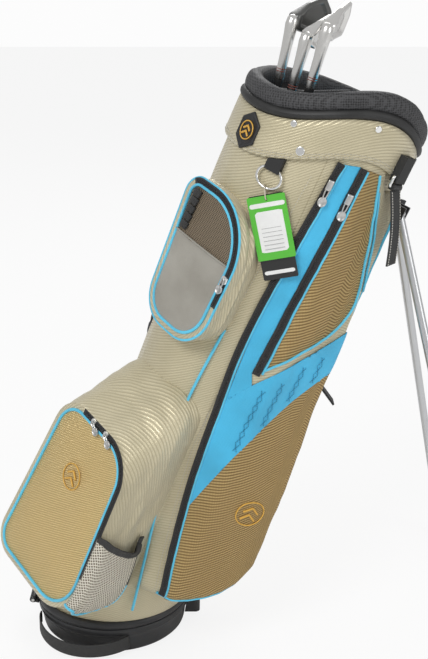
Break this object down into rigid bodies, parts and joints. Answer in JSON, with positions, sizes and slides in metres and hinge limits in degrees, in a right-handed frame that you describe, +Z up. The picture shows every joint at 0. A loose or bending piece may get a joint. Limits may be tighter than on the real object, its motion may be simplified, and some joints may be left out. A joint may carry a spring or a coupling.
{
  "type": "golf bag with clubs",
  "caption": "Stand bag for golf clubs leaning on two folding legs, with zipped pockets, padded collar, tags and irons.",
  "frame": {"origin": "on the floor, at the centre of the underside of the base cup", "axes": "+Z up, +X towards the legs and the way the bag leans, -Y towards the side with the zipped garment pocket"},
  "size_m": [0.7357, 0.4896, 0.9465],
  "materials": {
    "satin_fabric": "champagne satin twill",
    "gold_mesh": "coarse metallic gold weave",
    "blue_fabric": "bright blue ripstop",
    "black_pad": "black spacer mesh over foam",
    "black_webbing": "black webbing",
    "black_plastic": "moulded, satin",
    "zip_tape": "black coil zip",
    "grey_vinyl": "soft grey vinyl",
    "net": "open net over padding",
    "patch_rubber": "moulded patch",
    "chrome": "polished",
    "steel": "brushed",
    "aluminium": "satin grey tube",
    "foot_rubber": "matt",
    "club_steel": "satin chrome",
    "shaft_steel": "stepped steel shaft with rubber grip",
    "green_card": "printed card",
    "black_card": "printed card",
    "cord": "cream cord"
  },
  "bodies": {
    "base": {"base_cup": "black_plastic", "rod_anchor": "black_plastic", "lift_loop": "black_webbing", "hinge_pin": "steel"},
    "bag": {"ball_front": "gold_mesh", "ball_gusset": "satin_fabric", "ball_zip": "zip_tape", "band_rivets": "chrome", "base_ring": "black_plastic", "body_tube": "satin_fabric", "collar_band": "satin_fabric", "collar_pad": "black_pad", "collar_trim": "black_pad", "emblem_patch": "patch_rubber", "far_pocket": "gold_mesh", "front_sliders": "chrome", "garment_lower": "gold_mesh", "garment_pocket": "satin_fabric", "garment_upper": "gold_mesh", "garment_wave": "blue_fabric", "hip_pad": "black_pad", "leg_bracket": "black_plastic", "leg_pins": "steel", "leg_tie": "black_webbing", "long_zip": "zip_tape", "mesh_pouch": "net", "oval_front": "black_pad", "oval_gusset": "satin_fabric", "oval_pouch": "grey_vinyl", "oval_zip": "zip_tape", "ring_tab": "black_webbing", "rod_guides": "black_plastic", "second_zip": "zip_tape", "shoulder_strap": "black_pad", "strap_buckle": "chrome", "strap_fold": "black_webbing", "tee_holder": "black_webbing", "top_divider": "black_pad"},
    "leg_near": {"leg_near": "aluminium", "foot_near": "foot_rubber"},
    "leg_far": {"leg_far": "aluminium", "foot_far": "foot_rubber"},
    "rod": {"push_rod": "steel"},
    "iron_a": {"iron_a_shaft": "shaft_steel", "iron_a_head": "club_steel"},
    "iron_b": {"iron_b_shaft": "shaft_steel", "iron_b_head": "club_steel"},
    "iron_c": {"iron_c_shaft": "shaft_steel", "iron_c_head": "club_steel"},
    "ring": {"d_ring": "chrome"},
    "tags": {"tag_green": "green_card", "tag_black": "black_card", "tag_loop": "cord"},
    "ball_pull_a": {"ball_pull_a": "chrome"},
    "ball_pull_b": {"ball_pull_b": "chrome"},
    "oval_pull": {"oval_pull": "chrome"},
    "long_pull": {"long_pull": "chrome"},
    "second_pull": {"second_pull": "chrome"},
    "strap_end": {"side_strap": "black_webbing"}
  },
  "joints": [
    {"name": "base_tilt", "type": "hinge", "parent": "base", "child": "bag", "pos_m": [-0.12421, 0, 0.045], "axis": [0, -1, 0], "range_deg": [0, 23]},
    {"name": "leg_near_fold", "type": "hinge", "parent": "bag", "child": "leg_near", "pos_m": [0.41238, -0.024, 0.66843], "axis": [0.4322, 0.8829, -0.1834], "range_deg": [0, 39.5]},
    {"name": "leg_far_fold", "type": "hinge", "parent": "bag", "child": "leg_far", "pos_m": [0.41238, 0.024, 0.66843], "axis": [-0.4322, 0.8829, 0.1834], "range_deg": [0, 39.5]},
    {"name": "rod_slide", "type": "slide", "parent": "bag", "child": "rod", "axis": [-0.3907, 0, -0.9205], "range_m": [0, 0.1]},
    {"name": "iron_a_lift", "type": "slide", "parent": "bag", "child": "iron_a", "axis": [0.2079, 0, 0.9781], "range_m": [0, 0.45]},
    {"name": "iron_b_lift", "type": "slide", "parent": "bag", "child": "iron_b", "axis": [0.2504, 0, 0.9681], "range_m": [0, 0.45]},
    {"name": "iron_c_lift", "type": "slide", "parent": "bag", "child": "iron_c", "axis": [0.2588, 0, 0.9659], "range_m": [0, 0.45]},
    {"name": "ring_flap", "type": "hinge", "parent": "bag", "child": "ring", "pos_m": [0.23434, -0.10817, 0.75052], "axis": [-0.8051, 0.4848, 0.3417], "range_deg": [0, 60]},
    {"name": "tags_flap", "type": "hinge", "parent": "ring", "child": "tags", "pos_m": [0.22379, -0.10817, 0.72567], "axis": [-0.9643, 0.1563, -0.2138], "range_deg": [0, 60]},
    {"name": "ball_pull_a_flap", "type": "hinge", "parent": "bag", "child": "ball_pull_a", "pos_m": [-0.00836, -0.12295, 0.39938], "axis": [-0.6228, 0.3596, -0.6948], "range_deg": [0, 75]},
    {"name": "ball_pull_b_flap", "type": "hinge", "parent": "bag", "child": "ball_pull_b", "pos_m": [0.00998, -0.1467, 0.39159], "axis": [-0.6228, 0.3596, -0.6948], "range_deg": [0, 75]},
    {"name": "oval_pull_flap", "type": "hinge", "parent": "bag", "child": "oval_pull", "pos_m": [0.17156, -0.14977, 0.6153], "axis": [-0.5917, 0.766, 0.2512], "range_deg": [0, 75]},
    {"name": "long_pull_slide", "type": "slide", "parent": "bag", "child": "long_pull", "axis": [-0.4526, 0.0043, -0.8917], "range_m": [0, 0.06]},
    {"name": "second_pull_slide", "type": "slide", "parent": "bag", "child": "second_pull", "axis": [-0.4294, -0.0131, -0.903], "range_m": [0, 0.12]},
    {"name": "side_strap_swing", "type": "hinge", "parent": "bag", "child": "strap_end", "pos_m": [0.39419, -0.08899, 0.72069], "axis": [0.6159, 0.7431, -0.2614], "range_deg": [-60, 0]}
  ],
  "couplings": [
    {"joint": "leg_near_fold", "follows": "base_tilt", "ratio": 1.7174},
    {"joint": "leg_far_fold", "follows": "base_tilt", "ratio": 1.7174},
    {"joint": "rod_slide", "follows": "base_tilt", "m_per_rad": 0.24911}
  ]
}
